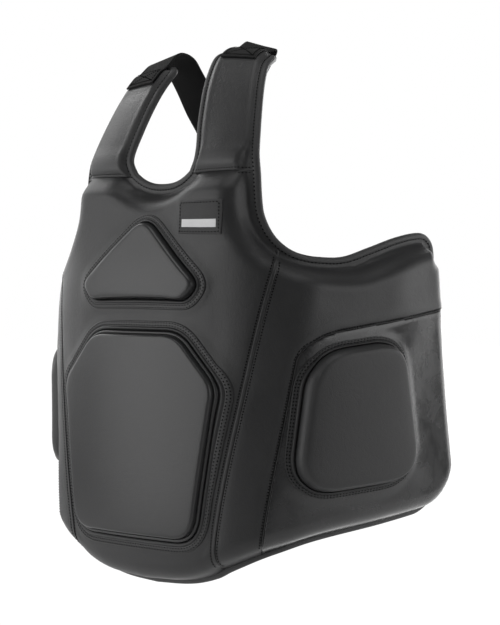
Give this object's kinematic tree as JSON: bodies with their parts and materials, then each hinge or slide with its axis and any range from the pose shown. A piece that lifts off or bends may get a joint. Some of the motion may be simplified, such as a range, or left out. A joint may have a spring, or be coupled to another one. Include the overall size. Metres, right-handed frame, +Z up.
{
  "type": "belly pad",
  "caption": "Padded body protector for sparring, with raised chest, belly and side pads, bound edges, padded shoulder straps and a webbing back harness.",
  "frame": {"origin": "middle of the line between the two shoulder straps' rests, under the straps where they lie on the shoulders", "axes": "+Z up along the worn torso, +X to the wearer's left, the front of the pad looks along -Y"},
  "size_m": [0.5508, 0.3641, 0.6859],
  "materials": {
    "leather": "matte synthetic leather",
    "gloss_leather": "glossy mottled synthetic leather",
    "moulded_leather": "satin moulded skin",
    "edge_tape": "woven tape",
    "webbing": "woven webbing",
    "label_cloth": "plain patch with a grey bar"
  },
  "bodies": {
    "root": {"front_panel": "leather", "side_panel_left": "leather", "side_panel_right": "leather", "shoulder_strap_left": "leather", "shoulder_strap_right": "leather", "chest_pad_welt": "leather", "belly_pad_welt": "leather", "side_pad_welt_left": "leather", "side_pad_welt_right": "leather", "back_patch": "leather", "side_cover_left": "gloss_leather", "side_cover_right": "gloss_leather", "chest_pad": "moulded_leather", "belly_pad": "moulded_leather", "side_pad_left": "moulded_leather", "side_pad_right": "moulded_leather", "hem_binding": "edge_tape", "side_binding_left": "edge_tape", "side_binding_right": "edge_tape", "neck_binding": "edge_tape", "webbing_left": "webbing", "webbing_right": "webbing", "back_strap": "webbing", "waist_strap": "webbing", "label_patch": "label_cloth"}
  },
  "joints": []
}
